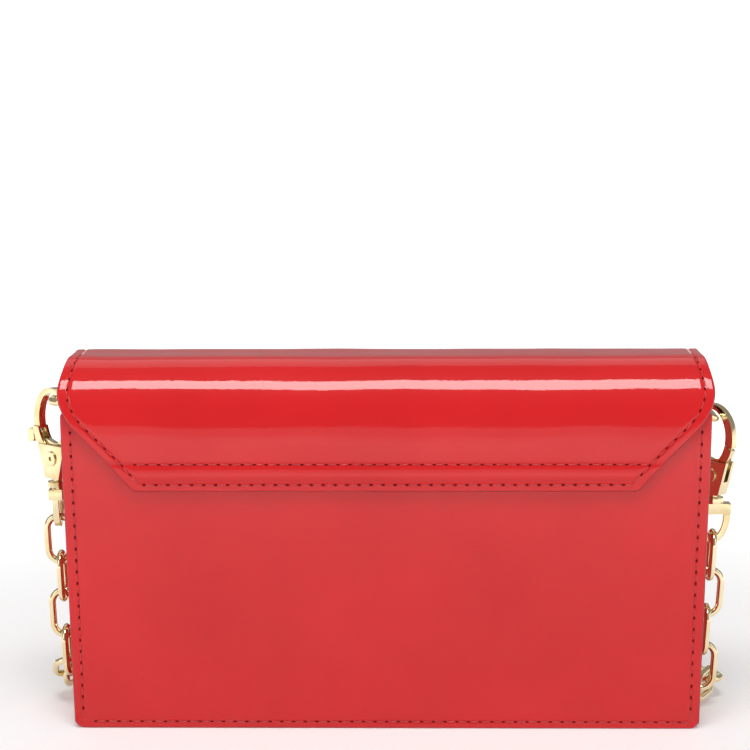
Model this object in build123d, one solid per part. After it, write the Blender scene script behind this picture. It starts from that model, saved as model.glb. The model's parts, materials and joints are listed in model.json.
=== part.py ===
from build123d import *
import math
import os

# A structured leather flap clutch with a chain strap. Millimetres, +Z up.
# The origin is the middle of the base. The flap closes over the front, at -Y.

# Driving sizes of the bag
WIDTH = 195.0
BODY_DEPTH = 42.0
LEATHER = 1.4
BOARD = 1.4
LINING = 0.6
PANEL_TOP = 99.0
FRONT_TOP = 94.0
GUSSET_RECESS = 8.2
GUSSET_TOP = 93.0
FLANGE_HEIGHT = 8.0

# Driving sizes of the flap
FLAP_LEATHER = 1.4
FLAP_LINING = 0.6
FOLD_HEIGHT = 99.5
FOLD_RADIUS = 14.5
FRONT_GAP = 0.6
TAIL_BOTTOM = 75.0
FRONT_BOTTOM = 40.0
CHAMFER = 21.9
CHAMFER_HEIGHT = 24.0
MAGNET_RADIUS = 8.0
MAGNET_THICKNESS = 1.2
MAGNET_HEIGHT = 56.0

# Driving sizes of the hardware
TAB_LEATHER = 1.0
TAB_WIDTH = 10.0
TAB_LENGTH = 24.0
RING_WIRE = 2.4
RING_REACH = 12.2
RING_HALF = 8.0
RING_CORNER = 1.8
RING_BOW = 5.5
RING_HEIGHT = 100.4
PIVOT_HEIGHT = 81.1
HOOK_THICKNESS = 2.6
BODY_THICKNESS = 5.0
KNOB_THICKNESS = 3.0
SLOT = 2.2
PIN_RADIUS = 1.0
POST_RADIUS = 1.3
RUN_CLEARANCE = 0.05
EYE_WIRE = 2.0
EYE_TOP = -12.6
EYE_DROP = 9.4
GATE_REACH = 10.5
HEAD_RADIUS = 1.9
HUB_RADIUS = 2.0
SPRING_WIRE = 0.3
SPRING_SIDE = 0.5
SPRING_LEG = 2.0
PIN_HEAD = 2.3
PIN_HEAD_THICKNESS = 0.5
PIN_BORE = 0.6
PIN_BORE_DEPTH = 0.8
TAB_RIVET_HEIGHT = 6.0
TAB_RIVET_SHANK = 1.2
TAB_RIVET_HEAD = 3.0
TAB_RIVET_THICKNESS = 0.8

# The clasp's shapes in its own plane, from the pivot: X towards the gate, Z up
HOOK_OUTER = (-1.0, 11.5, 8.3, 10.7)
HOOK_INNER = (-1.0, 12.0, 5.7, 8.6)
CHEEKS = ((-6.4, 4.2), (-3.2, -6.4), (3.2, -6.4), (6.0, 4.2))
SPINE = ((-9.2, 9.5), (-9.2, 3.0), (-2.0, 3.0), (-2.0, 9.5))
SLOT_SHAPE = ((-12, 8.8), (-12, -1.5), (-4.4, -2.2), (8, -2.2), (8, 8.8))
TRIGGER_ARM = ((-10, 7.6), (-10, 5.2), (-1.8, 0), (1.8, 0), (5.6, 3.0), (4.4, 5.4), (0, 4.6))
GATE_FOOT = (5.0, 4.0, 4.0, 10.0)
GATE_BLADE = (6.0, 6.5, 7.4, 8.4)
GATE_TIP = (6.0, 7.9, 7.4, 7.0)
KNOB = (-10.9, 6.2, 3.0, 4.4, 1.2)
HUB_DROP = 0.4
FOOT_BORE = (-7.0, -3.9)
FOOT_POCKET = (-4.4, -2.1)

# The swivel eye along its post, from the pivot
POST_SPAN = (-9.0, -3.0)
POST_HEAD_SPAN = (-4.2, -2.7)
COLLAR_SPAN = (-9.2, -7.4)
COLLAR_RADIUS = 3.2
EYE_HALF_WIDTH = 5.3
EYE_HALF_PLATE = 2.2

# Driving sizes of the parts inside
LINER_POCKET = (55.0, 28.0, 70.0)
POCKET_DEPTH = 2.2
POCKET_SEAM = 3.0
LINING_INSET = 1.5
FLAP_DISC = 0.7

# Driving sizes of the chain
LINK_LENGTH = 16.8
LINK_WIDTH = 10.0
LINK_WIRE = 2.2
LINK_SLACK = 0.35
DROP_LINKS = 4
FLOOR_LINKS = 28
FLOOR_HALF = 104.6
FLOOR_DEPTH = 108.271
FLOOR_AXIS = 3.95
FLOOR_LIFTS = {0: 3.8, 1: 1.8, 2: 0.9, 3: 0.5, 23: 0.2, 24: 0.9, 25: 1.45, 26: 2.6}
FLOOR_STEP = 0.0005
HOOK_AHEAD = 1.8
HOOK_BACK = 1.5

# Places that follow from the driving sizes
HALF = WIDTH / 2
PANEL_FACE = BODY_DEPTH / 2
PANEL_BACK = PANEL_FACE - LEATHER
BOARD_BACK = PANEL_BACK - BOARD
WEB_FACE = HALF - GUSSET_RECESS
WEB_BACK = WEB_FACE - LEATHER
LINING_HALF = WEB_BACK
FLAP = FLAP_LEATHER + FLAP_LINING
REAR_FACE = PANEL_FACE + FLAP
FRONT_FACE = PANEL_FACE + FRONT_GAP + FLAP
RING_BAR = WEB_FACE + TAB_LEATHER + 0.1 + RING_WIRE / 2
PITCH = LINK_LENGTH - 2 * LINK_WIRE - LINK_SLACK

# Each side: its sign along X, how far its D-ring falls, its clasp's turn, its eye's turn,
# the clasp's drop, where its post is along X, and the X of the foot of its chain
SIDES = {
    "right": (1, 3.0, 140.0, 90.0, 0.0, 103.2, 101.4),
    "left": (-1, 32.0, 138.0, 0.0, 5.2, 102.3, 99.4),
}


def block(x0, x1, y0, y1, z0, z1):
    """A box between two corners."""
    size = Box(x1 - x0, y1 - y0, z1 - z0)
    return Pos((x0 + x1) / 2, (y0 + y1) / 2, (z0 + z1) / 2) * size


def rod(radius, start, end):
    """A round bar between two points."""
    a, b = Vector(*start), Vector(*end)
    plane = Plane(origin=(a + b) / 2, z_dir=b - a)
    return plane * Cylinder(radius, (b - a).length)


def flap_outline(bottom, y0, y1, inset=0.0):
    """A flap board: full width at the fold, with its two lower corners cut at a slant."""
    half = HALF - inset
    low = bottom + inset
    points = [
        (-half, FOLD_HEIGHT),
        (-half, low + CHAMFER_HEIGHT),
        (-half + CHAMFER, low),
        (half - CHAMFER, low),
        (half, low + CHAMFER_HEIGHT),
        (half, FOLD_HEIGHT),
    ]
    face = make_face(Plane.XZ * Polyline(*points, close=True))
    return Pos(0, y1, 0) * extrude(face, y1 - y0)


def flap_arch(depth0, depth1, half):
    """The part of the flap that bends over the mouth, between two depths below its outer face."""
    rear = REAR_FACE
    front = -FRONT_FACE
    r0 = FOLD_RADIUS - depth0
    r1 = FOLD_RADIUS - depth1
    top0 = FOLD_HEIGHT + r0
    top1 = FOLD_HEIGHT + r1
    s = math.sqrt(0.5)
    rear_axis = rear - FOLD_RADIUS
    front_axis = front + FOLD_RADIUS
    edges = [
        ThreePointArc(
            (rear_axis + r0, FOLD_HEIGHT), (rear_axis + r0 * s, FOLD_HEIGHT + r0 * s), (rear_axis, top0)
        ),
        Line((rear_axis, top0), (front_axis, top0)),
        ThreePointArc(
            (front_axis, top0), (front_axis - r0 * s, FOLD_HEIGHT + r0 * s), (front_axis - r0, FOLD_HEIGHT)
        ),
        Line((front_axis - r0, FOLD_HEIGHT), (front_axis - r1, FOLD_HEIGHT)),
        ThreePointArc(
            (front_axis - r1, FOLD_HEIGHT), (front_axis - r1 * s, FOLD_HEIGHT + r1 * s), (front_axis, top1)
        ),
        Line((front_axis, top1), (rear_axis, top1)),
        ThreePointArc(
            (rear_axis, top1), (rear_axis + r1 * s, FOLD_HEIGHT + r1 * s), (rear_axis + r1, FOLD_HEIGHT)
        ),
        Line((rear_axis + r1, FOLD_HEIGHT), (rear_axis + r0, FOLD_HEIGHT)),
    ]
    face = make_face(Plane.YZ * Curve(edges))
    return Pos(-half, 0, 0) * extrude(face, 2 * half)


def back_panel():
    """The leather back, from the base to just under the rear fold."""
    return block(-HALF, HALF, PANEL_BACK, PANEL_FACE, 0, PANEL_TOP)


def front_panel():
    """The leather front behind the flap, with a pocket in its back for the magnet."""
    panel = block(-HALF, HALF, -PANEL_FACE, -PANEL_BACK, 0, FRONT_TOP)
    pocket = rod(
        MAGNET_RADIUS, (0, -PANEL_BACK, MAGNET_HEIGHT), (0, -PANEL_BACK - MAGNET_THICKNESS / 2, MAGNET_HEIGHT)
    )
    return panel - pocket


def gusset(side):
    """A side strip: a sunken web with two flanges that are sewn flush to the panels."""
    web = block(WEB_BACK, WEB_FACE, -PANEL_BACK, PANEL_BACK, LEATHER, GUSSET_TOP)
    rear = block(WEB_FACE, HALF, PANEL_BACK - LEATHER, PANEL_BACK, LEATHER, GUSSET_TOP)
    part = web + rear + mirror(rear, Plane.XZ)
    return part if side > 0 else mirror(part, Plane.YZ)


def base_gusset():
    """The flat base, with its long edges turned up inside the panels."""
    base = block(-HALF, HALF, -PANEL_BACK, PANEL_BACK, 0, LEATHER)
    rear = block(-WEB_BACK, WEB_BACK, PANEL_BACK - LEATHER, PANEL_BACK, LEATHER, FLANGE_HEIGHT)
    return base + rear + mirror(rear, Plane.XZ)


def back_board():
    """The stiffener behind the back leather."""
    return block(-WEB_BACK, WEB_BACK, BOARD_BACK, PANEL_BACK, FLANGE_HEIGHT, PANEL_TOP - 2)


def front_board():
    """The stiffener behind the front leather, with a pocket for the magnet."""
    board = block(-WEB_BACK, WEB_BACK, -PANEL_BACK, -BOARD_BACK, FLANGE_HEIGHT, FRONT_TOP - 1)
    pocket = rod(
        MAGNET_RADIUS, (0, -PANEL_BACK, MAGNET_HEIGHT), (0, -PANEL_BACK + MAGNET_THICKNESS / 2, MAGNET_HEIGHT)
    )
    return board - pocket


def base_board():
    """The stiffener that lies on the base."""
    half_depth = PANEL_BACK - LEATHER
    return block(-WEB_BACK, WEB_BACK, -half_depth, half_depth, LEATHER, LEATHER + BOARD)


def lining():
    """The fabric bag inside, open at the top."""
    floor = LEATHER + BOARD
    outer = block(-LINING_HALF, LINING_HALF, -BOARD_BACK, BOARD_BACK, floor, GUSSET_TOP)
    half = LINING_HALF - LINING
    depth = BOARD_BACK - LINING
    return outer - block(-half, half, -depth, depth, floor + LINING, GUSSET_TOP + 1)


def slip_pocket():
    """A flat pocket sewn to the back of the lining, open at its top."""
    wall = BOARD_BACK - LINING
    half, low, top = LINER_POCKET
    inner = half - POCKET_SEAM
    outer = block(-half, half, wall - POCKET_DEPTH, wall, low, top)
    return outer - block(-inner, inner, wall - POCKET_DEPTH + LINING, wall + 1, low + POCKET_SEAM, top + 1)


def panel_magnet():
    """The round magnet hidden between the front leather and its board."""
    half = MAGNET_THICKNESS / 2
    return rod(
        MAGNET_RADIUS, (0, -PANEL_BACK - half, MAGNET_HEIGHT), (0, -PANEL_BACK + half, MAGNET_HEIGHT)
    )


def flap_magnet():
    """The steel disc hidden between the flap's leather and its lining."""
    y = -FRONT_FACE + FLAP_LEATHER
    return rod(MAGNET_RADIUS, (0, y - FLAP_DISC, MAGNET_HEIGHT), (0, y, MAGNET_HEIGHT))


def flap_tail():
    """The end of the flap that is sewn to the back, with slanted lower corners."""
    return flap_outline(TAIL_BOTTOM, PANEL_FACE, REAR_FACE)


def flap_top():
    """The leather that bends over the mouth."""
    return flap_arch(0, FLAP_LEATHER, HALF)


def flap_top_lining():
    """The lining under the bent leather."""
    return flap_arch(FLAP_LEATHER, FLAP, HALF - LINING_INSET)


def flap_front():
    """The leather of the front of the flap, with a pocket for the steel disc."""
    return flap_outline(FRONT_BOTTOM, -FRONT_FACE, -FRONT_FACE + FLAP_LEATHER) - flap_magnet()


def flap_front_lining():
    """The lining on the inner side of the front of the flap."""
    return flap_outline(FRONT_BOTTOM, -FRONT_FACE + FLAP_LEATHER, -FRONT_FACE + FLAP, LINING_INSET)


def handed(part, side):
    """The part as it is on the right side, or mirrored for the left side."""
    return part if side > 0 else mirror(part, Plane.YZ)


def ring_tab(side):
    """A folded leather strap on the gusset that loops round the D-ring's bar."""
    bore = RING_WIRE / 2 + 0.1
    y = TAB_WIDTH / 2
    low = RING_HEIGHT - TAB_LENGTH
    strap = block(WEB_FACE, WEB_FACE + 2 * TAB_LEATHER, -y, y, low, RING_HEIGHT)
    loop = rod(bore + TAB_LEATHER, (RING_BAR, -y, RING_HEIGHT), (RING_BAR, y, RING_HEIGHT))
    hole = rod(bore, (RING_BAR, -y - 1, RING_HEIGHT), (RING_BAR, y + 1, RING_HEIGHT))
    z = low + TAB_RIVET_HEIGHT
    rivet_hole = rod(TAB_RIVET_SHANK, (WEB_FACE - 1, 0, z), (WEB_FACE + 4, 0, z))
    return handed(strap + loop - hole - rivet_hole, side)


def tab_rivet(side):
    """The rivet that clamps the folded strap."""
    z = RING_HEIGHT - TAB_LENGTH + TAB_RIVET_HEIGHT
    face = WEB_FACE + 2 * TAB_LEATHER
    shank = rod(TAB_RIVET_SHANK, (WEB_FACE, 0, z), (face, 0, z))
    head = rod(TAB_RIVET_HEAD, (face, 0, z), (face + TAB_RIVET_THICKNESS, 0, z))
    return handed(shank + head, side)


def d_ring(side, fall):
    """A wire D: its bar turns in the tab's loop and its bow carries the clasp."""
    reach, half = RING_REACH, RING_HALF
    small, large = RING_CORNER, RING_BOW
    lower = [
        CenterArc((small, small - half), small, 180, 90),
        Line((small, -half), (reach - large, -half)),
        CenterArc((reach - large, large - half), large, 270, 90),
    ]
    upper = [
        CenterArc((reach - large, half - large), large, 0, 90),
        Line((reach - large, half), (small, half)),
        CenterArc((small, half - small), small, 90, 90),
    ]
    bar = Line((0, half - small), (0, small - half))
    bow = Line((reach, large - half), (reach, half - large))
    path = Wire([bar, *lower, bow, *upper])
    ring = sweep(Plane(origin=(0, 0, 0), z_dir=(0, -1, 0)) * Circle(RING_WIRE / 2), path)
    return handed(Pos(RING_BAR, 0, RING_HEIGHT) * Rot(0, fall, 0) * ring, side)


def slab(face, thickness):
    """A face in the clasp's own plane, X across and Z up, thickened equally both ways."""
    return extrude(Plane.XZ * face, thickness / 2, both=True)


def ellipse_at(x, z, rx, rz):
    """An ellipse about a point."""
    return Pos(x, z) * Ellipse(rx, rz)


def rectangle_at(x, z, wide, high):
    """A rectangle about a point."""
    return Pos(x, z) * Rectangle(wide, high)


def polygon(points):
    """A flat face with straight edges."""
    return make_face(Polyline(*points, close=True))


def hook_ring():
    """The oval loop that the hook and the gate are both cut from."""
    return ellipse_at(*HOOK_OUTER) - ellipse_at(*HOOK_INNER)


def clasp_body():
    """The cast clasp: a hook, two cheeks about the trigger's slot, and a foot bored for the swivel."""
    hook = hook_ring() - Circle(GATE_REACH + 0.2) - rectangle_at(*GATE_FOOT)
    spine = polygon(SPINE) & hook_ring()
    part = slab(polygon(CHEEKS), BODY_THICKNESS) + slab(hook, HOOK_THICKNESS)
    part += slab(spine, BODY_THICKNESS - 1.0)
    part -= slab(polygon(SLOT_SHAPE), SLOT)
    part -= rod(PIN_RADIUS, (0, -BODY_THICKNESS, 0), (0, BODY_THICKNESS, 0))
    bore_low, bore_top = FOOT_BORE
    pocket_low, pocket_top = FOOT_POCKET
    part -= rod(POST_RADIUS + RUN_CLEARANCE, (0, 0, bore_low), (0, 0, bore_top))
    part -= rod(HEAD_RADIUS + RUN_CLEARANCE, (0, 0, pocket_low), (0, 0, pocket_top))
    return part


def trigger():
    """The gate, its hub on the pivot, and the thumb knob that stands out past the spine."""
    thick = SLOT - 0.3
    gate = hook_ring() & Circle(GATE_REACH) & rectangle_at(*GATE_BLADE)
    part = slab(polygon(TRIGGER_ARM) - Circle(HUB_RADIUS), thick) + slab(gate, thick)
    part += Pos(0, -HUB_DROP, 0) * slab(Circle(HUB_RADIUS), thick - 2 * HUB_DROP)
    part += slab(gate & rectangle_at(*GATE_TIP), HOOK_THICKNESS)
    x, z, wide, high, corner = KNOB
    part += slab(Pos(x, z) * RectangleRounded(wide, high, corner), KNOB_THICKNESS)
    return part - rod(PIN_RADIUS + RUN_CLEARANCE, (0, -BODY_THICKNESS, 0), (0, BODY_THICKNESS, 0))


def pivot_rivet():
    """The hollow rivet that the trigger turns on."""
    y = BODY_THICKNESS / 2
    top = y + PIN_HEAD_THICKNESS
    pin = rod(PIN_RADIUS, (0, -y, 0), (0, y, 0))
    pin += rod(PIN_HEAD, (0, y, 0), (0, top, 0)) + rod(PIN_HEAD, (0, -y, 0), (0, -top, 0))
    deep = y - PIN_BORE_DEPTH
    return pin - rod(PIN_BORE, (0, top + 1, 0), (0, deep, 0)) - rod(PIN_BORE, (0, -top - 1, 0), (0, -deep, 0))


def swivel_eye():
    """The post that turns in the clasp's foot, its collar and barrel, and the eye for the chain."""
    post_low, post_top = POST_SPAN
    head_low, head_top = POST_HEAD_SPAN
    collar_low, collar_top = COLLAR_SPAN
    wide = EYE_HALF_WIDTH
    part = rod(POST_RADIUS, (0, 0, post_low), (0, 0, post_top))
    part += rod(HEAD_RADIUS, (0, 0, head_low), (0, 0, head_top))
    part += rod(COLLAR_RADIUS, (0, 0, collar_low), (0, 0, collar_top))
    part += block(-wide, wide, -EYE_HALF_PLATE, EYE_HALF_PLATE, EYE_TOP, collar_low)
    outer = ellipse_at(0, EYE_TOP, wide, EYE_DROP)
    inner = ellipse_at(0, EYE_TOP, wide - EYE_WIRE, EYE_DROP - EYE_WIRE)
    lower = rectangle_at(0, EYE_TOP - EYE_DROP, 3 * wide, 2 * EYE_DROP)
    return part + slab((outer - inner) & lower, EYE_WIRE)


def post_place(side, turn, drop, post_x):
    """Where the clasp's pivot is, and how a piece is turned about the clasp's post."""
    return Pos(side * post_x, 0, PIVOT_HEIGHT - drop) * Rot(0, 0, turn)


def chain_link():
    """One link lying along X, wide along Y."""
    straight = LINK_LENGTH - LINK_WIDTH
    r = (LINK_WIDTH - LINK_WIRE) / 2
    h = straight / 2
    bow = Pos(h, 0, 0) * (Torus(r, LINK_WIRE / 2) & block(0, 20, -20, 20, -5, 5))
    sides = rod(LINK_WIRE / 2, (-h, r, 0), (h, r, 0)) + rod(LINK_WIRE / 2, (-h, -r, 0), (h, -r, 0))
    return bow + mirror(bow, Plane.YZ) + sides


def trigger_spring():
    """A two-turn spring about the pivot, beside the hub, with a leg that rests in the slot."""
    turn = PIN_RADIUS + 0.15 + SPRING_WIRE / 2
    coil = Rot(90, 0, 0) * Torus(turn, SPRING_WIRE / 2)
    near = SPRING_SIDE
    far = SPRING_SIDE + 0.9 * SPRING_WIRE
    leg = rod(SPRING_WIRE / 2, (turn, near, 0), (turn, near, -SPRING_LEG))
    return Pos(0, near, 0) * coil + Pos(0, far, 0) * coil + leg


def unit(v):
    return v * (1 / v.length)


def link_between(start, end, across, twist):
    """A chain link from one joint to the next, its width turned by twist from the across direction."""
    along = unit(end - start)
    level = unit(across - along * along.dot(across))
    up = along.cross(level)
    t = math.radians(twist)
    width = level * math.cos(t) + up * math.sin(t)
    plane = Plane(origin=(start + end) * 0.5, x_dir=along, z_dir=along.cross(width))
    return plane * chain_link()


def drop_joints(side):
    """The joints of a hanging end of the chain, from the swivel eye down."""
    sign, fall, turn, eye_turn, drop, post_x, foot_x = SIDES[side]
    top = PIVOT_HEIGHT - drop + EYE_TOP - EYE_DROP + EYE_WIRE
    lean = (foot_x - post_x) / DROP_LINKS
    return [Vector(sign * (post_x + lean * k), 0, top - PITCH * k) for k in range(DROP_LINKS + 1)]


def chain_drop(side):
    """The links that hang between a clasp and the surface, turned by a quarter from one to the next."""
    joints = drop_joints(side)
    first = 0 if SIDES[side][0] > 0 else 90
    links = []
    for k in range(DROP_LINKS):
        links.append(link_between(joints[k], joints[k + 1], Vector(1, 0, 0), first + 90 * (k % 2)))
    return links


def drop_end(side, rise):
    """A point at a height above the middle of the wire at the foot of a hanging end."""
    return drop_joints(side)[-1] + Vector(0, 0, rise - (LINK_WIRE + LINK_SLACK) / 2)


def floor_joints():
    """The joints of the rest of the chain, which lies in a bow in front of the bag."""
    joints = [drop_end("right", (LINK_WIDTH - LINK_WIRE) / 2)]
    angle = 0.0
    for k in range(FLOOR_LINKS - 1):
        reach = PITCH + HOOK_AHEAD if k == 0 else PITCH
        lift = FLOOR_LIFTS.get(k, 0)
        joint = joints[-1]
        while (joint - joints[-1]).length < reach:
            angle += FLOOR_STEP
            joint = Vector(FLOOR_HALF * math.cos(angle), -FLOOR_DEPTH * math.sin(angle), FLOOR_AXIS + lift)
        joints.append(joint)
    return joints + [drop_end("left", 0)]


def chain_on_surface():
    """The links that lie down, each turned a quarter from the last and leaning half a quarter."""
    joints = floor_joints()
    last = FLOOR_LINKS - 1
    links = []
    for k in range(FLOOR_LINKS):
        start, end = joints[k], joints[k + 1]
        along = unit(end - start)
        if k == 0:
            start += along * HOOK_AHEAD
        if k == last:
            end += along * HOOK_BACK
        lean = min(45, 14 * max(0, k - 1), 22 * max(0, last - k - 1))
        if k % 2:
            lean -= 90
        links.append(link_between(start, end, along.cross(Vector(0, 0, 1)), lean))
    return links


def save(name, solids):
    """One node: a solid, or a list of separate solids."""
    shape = Compound(children=list(solids)) if isinstance(solids, list) else solids
    export_step(shape, f"parts/{name}.step")


def main():
    os.makedirs("parts", exist_ok=True)
    for make in (
        back_panel,
        front_panel,
        base_gusset,
        back_board,
        front_board,
        base_board,
        lining,
        slip_pocket,
        panel_magnet,
        flap_tail,
        flap_top,
        flap_top_lining,
        flap_front,
        flap_front_lining,
        flap_magnet,
    ):
        save(make.__name__, make())
    for side, (sign, fall, turn, eye_turn, drop, post_x, foot_x) in SIDES.items():
        place = post_place(sign, turn, drop, post_x)
        eye_place = post_place(sign, eye_turn, drop, post_x)
        save(f"{side}_gusset", gusset(sign))
        save(f"{side}_ring_tab", ring_tab(sign))
        save(f"{side}_tab_rivet", tab_rivet(sign))
        save(f"{side}_d_ring", d_ring(sign, fall))
        save(f"{side}_clasp_body", place * clasp_body())
        save(f"{side}_clasp_trigger", place * trigger())
        save(f"{side}_trigger_spring", place * trigger_spring())
        save(f"{side}_pivot_rivet", place * pivot_rivet())
        save(f"{side}_swivel_eye", eye_place * swivel_eye())
        save(f"{side}_hanging_chain", chain_drop(side))
    save("lying_chain", chain_on_surface())


main()
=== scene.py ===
import json
import math

import bmesh
import bpy
import numpy as np
from mathutils import Matrix, Vector


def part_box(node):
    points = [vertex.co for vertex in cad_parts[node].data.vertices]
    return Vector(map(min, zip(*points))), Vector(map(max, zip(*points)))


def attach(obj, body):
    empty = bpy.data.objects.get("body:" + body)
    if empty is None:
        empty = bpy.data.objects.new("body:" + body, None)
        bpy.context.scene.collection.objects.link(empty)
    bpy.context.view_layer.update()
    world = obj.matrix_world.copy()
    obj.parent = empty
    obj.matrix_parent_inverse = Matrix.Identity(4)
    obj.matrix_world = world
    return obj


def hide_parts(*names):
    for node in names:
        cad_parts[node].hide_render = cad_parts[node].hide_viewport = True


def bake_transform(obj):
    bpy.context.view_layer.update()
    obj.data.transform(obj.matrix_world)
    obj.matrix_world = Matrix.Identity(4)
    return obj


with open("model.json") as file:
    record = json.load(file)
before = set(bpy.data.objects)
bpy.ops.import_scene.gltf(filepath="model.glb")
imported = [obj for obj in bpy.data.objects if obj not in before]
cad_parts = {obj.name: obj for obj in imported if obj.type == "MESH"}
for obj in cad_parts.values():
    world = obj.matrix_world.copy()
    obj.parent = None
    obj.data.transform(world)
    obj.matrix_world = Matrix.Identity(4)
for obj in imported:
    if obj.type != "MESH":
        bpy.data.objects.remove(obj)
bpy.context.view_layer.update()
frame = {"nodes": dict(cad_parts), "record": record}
NODES = frame["nodes"]
MM = 0.001

# Places read from the frame, in millimetres
TAIL_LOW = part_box("flap_tail")[0][2] / MM
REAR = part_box("flap_tail")[1][1] / MM
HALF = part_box("flap_tail")[1][0] / MM
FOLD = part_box("flap_tail")[1][2] / MM
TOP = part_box("flap_top")[1][2] / MM
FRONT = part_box("flap_front")[0][1] / MM
FRONT_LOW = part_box("flap_front")[0][2] / MM
PANEL_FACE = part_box("back_panel")[1][1] / MM
PANEL_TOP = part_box("back_panel")[1][2] / MM
FRONT_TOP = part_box("front_panel")[1][2] / MM
PANEL_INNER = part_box("base_gusset")[1][1] / MM
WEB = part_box("right_gusset")[0][0] / MM
GUSSET_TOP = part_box("right_gusset")[1][2] / MM

# Sizes of the leather work, in millimetres
LEATHER = 1.4
FLAP_LINING = 0.6
CHAMFER = 21.5
CHAMFER_HEIGHT = 24.0
STITCH_INSET = 3.0
STITCH_PITCH = 3.6
STITCH_LENGTH = 2.5
SIDES = (("right", 1), ("left", -1))


# ---------------------------------------------------------------- camera, floor and light
WALL_TOP = 0.045
WALL_FADE = 0.06
FLOOR_REACH = 3.0


def make_camera():
    """A long lens, a little above the bag, looking at its back."""
    place = Vector((-8.036, 592.69, 199.917)) * MM
    pitch, yaw, roll = 0.1552, 0.0192, -0.0045
    ahead = Vector((math.sin(yaw) * math.cos(pitch), -math.cos(yaw) * math.cos(pitch), -math.sin(pitch)))
    side = ahead.cross(Vector((0, 0, 1))).normalized()
    up = side.cross(ahead)
    across = side * math.cos(roll) + up * math.sin(roll)
    rise = up * math.cos(roll) - side * math.sin(roll)
    data = bpy.data.cameras.new("camera")
    data.lens = 92.68
    data.sensor_width = 36.0
    data.clip_start = 0.01
    camera = bpy.data.objects.new("camera", data)
    camera.matrix_world = Matrix.Translation(place) @ Matrix((across, rise, -ahead)).transposed().to_4x4()
    bpy.context.collection.objects.link(camera)
    bpy.context.scene.camera = camera


def area_light(name, place, target, size, radiance):
    """A rectangular lamp at a place, turned to a target, whose face has the given radiance."""
    data = bpy.data.lights.new(name, "AREA")
    data.shape = "RECTANGLE"
    data.size, data.size_y = size
    data.energy = radiance * math.pi * size[0] * size[1]
    lamp = bpy.data.objects.new(name, data)
    lamp.location = place
    lamp.rotation_euler = (Vector(target) - Vector(place)).to_track_quat("-Z", "Y").to_euler()
    bpy.context.collection.objects.link(lamp)


def make_world():
    """A dim grey room, white from the floor to a little above the horizon."""
    world = bpy.data.worlds.new("room")
    world.use_nodes = True
    tree = world.node_tree
    tree.nodes.clear()
    out = tree.nodes.new("ShaderNodeOutputWorld")
    shade = tree.nodes.new("ShaderNodeBackground")
    coord = tree.nodes.new("ShaderNodeTexCoord")
    split = tree.nodes.new("ShaderNodeSeparateXYZ")
    height = tree.nodes.new("ShaderNodeMapRange")
    height.interpolation_type = "SMOOTHSTEP"
    height.inputs["From Min"].default_value = WALL_TOP
    height.inputs["From Max"].default_value = WALL_TOP + WALL_FADE
    mix = tree.nodes.new("ShaderNodeMix")
    mix.data_type = "RGBA"
    mix.inputs[6].default_value = (1.05, 1.05, 1.05, 1)
    mix.inputs[7].default_value = (0.30, 0.30, 0.30, 1)
    tree.links.new(coord.outputs["Generated"], split.inputs[0])
    tree.links.new(split.outputs["Z"], height.inputs["Value"])
    tree.links.new(height.outputs[0], mix.inputs[0])
    tree.links.new(mix.outputs[2], shade.inputs["Color"])
    tree.links.new(shade.outputs[0], out.inputs["Surface"])
    bpy.context.scene.world = world


def make_floor():
    """A white table top that glows more with distance, so that it ends in the white wall."""
    mesh = bpy.data.meshes.new("floor")
    corners = [(x * FLOOR_REACH, y * FLOOR_REACH, 0) for x, y in ((-1, -1), (1, -1), (1, 1), (-1, 1))]
    mesh.from_pydata(corners, [], [(0, 1, 2, 3)])
    floor = bpy.data.objects.new("floor", mesh)
    bpy.context.collection.objects.link(floor)
    material = bpy.data.materials.new("floor_white")
    material.use_nodes = True
    shader = material.node_tree.nodes["Principled BSDF"]
    shader.inputs["Base Color"].default_value = (0.86, 0.86, 0.86, 1)
    shader.inputs["Roughness"].default_value = 0.55
    shader.inputs["Specular IOR Level"].default_value = 0.2
    shader.inputs["Emission Color"].default_value = (1, 1, 1, 1)
    nodes, links = material.node_tree.nodes, material.node_tree.links
    coord = nodes.new("ShaderNodeTexCoord")
    far = nodes.new("ShaderNodeVectorMath")
    far.operation = "LENGTH"
    glow = nodes.new("ShaderNodeMapRange")
    glow.interpolation_type = "SMOOTHSTEP"
    glow.inputs["From Min"].default_value = 0.12
    glow.inputs["From Max"].default_value = 0.55
    glow.inputs["To Min"].default_value = 0.2
    glow.inputs["To Max"].default_value = 0.8
    links.new(coord.outputs["Object"], far.inputs[0])
    links.new(far.outputs["Value"], glow.inputs["Value"])
    links.new(glow.outputs[0], shader.inputs["Emission Strength"])
    mesh.materials.append(material)


make_camera()
make_world()
make_floor()
bpy.context.scene.view_settings.view_transform = "Standard"
area_light("key_softbox", (0.02, 0.466, 1.203), (0.0, 0.02, 0.1), (0.66, 0.37), 11.6)
area_light("left_fill", (1.3, 0.9, 0.7), (0, 0, 0.05), (0.9, 0.9), 1.5)
area_light("right_fill", (-1.3, 0.7, 0.6), (0, 0, 0.05), (0.7, 0.9), 1.2)
area_light("front_fill", (0.2, -1.0, 1.5), (0, 0, 0.05), (1.4, 0.9), 0.6)


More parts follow.
